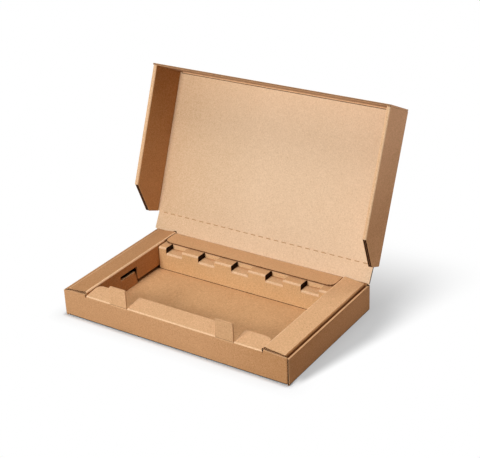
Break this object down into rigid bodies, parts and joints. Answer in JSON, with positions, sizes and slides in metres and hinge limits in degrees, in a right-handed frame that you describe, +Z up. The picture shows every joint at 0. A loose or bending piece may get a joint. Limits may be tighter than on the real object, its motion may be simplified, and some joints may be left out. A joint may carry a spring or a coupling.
{
  "type": "corrugated mailer box",
  "caption": "Shallow kraft corrugated mailer box with a hinged tray lid, hollow side rims and a notched ledge along the back.",
  "frame": {"origin": "middle of the tray's underside, on the surface the box stands on", "axes": "+X to the right along the front, +Y to the back where the lid is hinged, +Z up"},
  "size_m": [0.2528, 0.2033, 0.1926],
  "materials": {
    "kraft_board": "uncoated brown kraft liner",
    "kraft_insert": "uncoated brown kraft liner"
  },
  "bodies": {
    "tray": {"tray": "kraft_board", "inner_frame": "kraft_insert"},
    "hinge_panel": {"hinge_panel": "kraft_board"},
    "lid": {"lid": "kraft_board"}
  },
  "joints": [
    {"name": "hinge_fold", "type": "hinge", "parent": "tray", "child": "hinge_panel", "pos_m": [0, 0.071, 0.0274], "axis": [1, 0, 0], "range_deg": [-66, 29]},
    {"name": "lid_fold", "type": "hinge", "parent": "hinge_panel", "child": "lid", "pos_m": [0, 0.07785, 0.04327], "axis": [1, 0, 0], "range_deg": [-7, 83]}
  ]
}
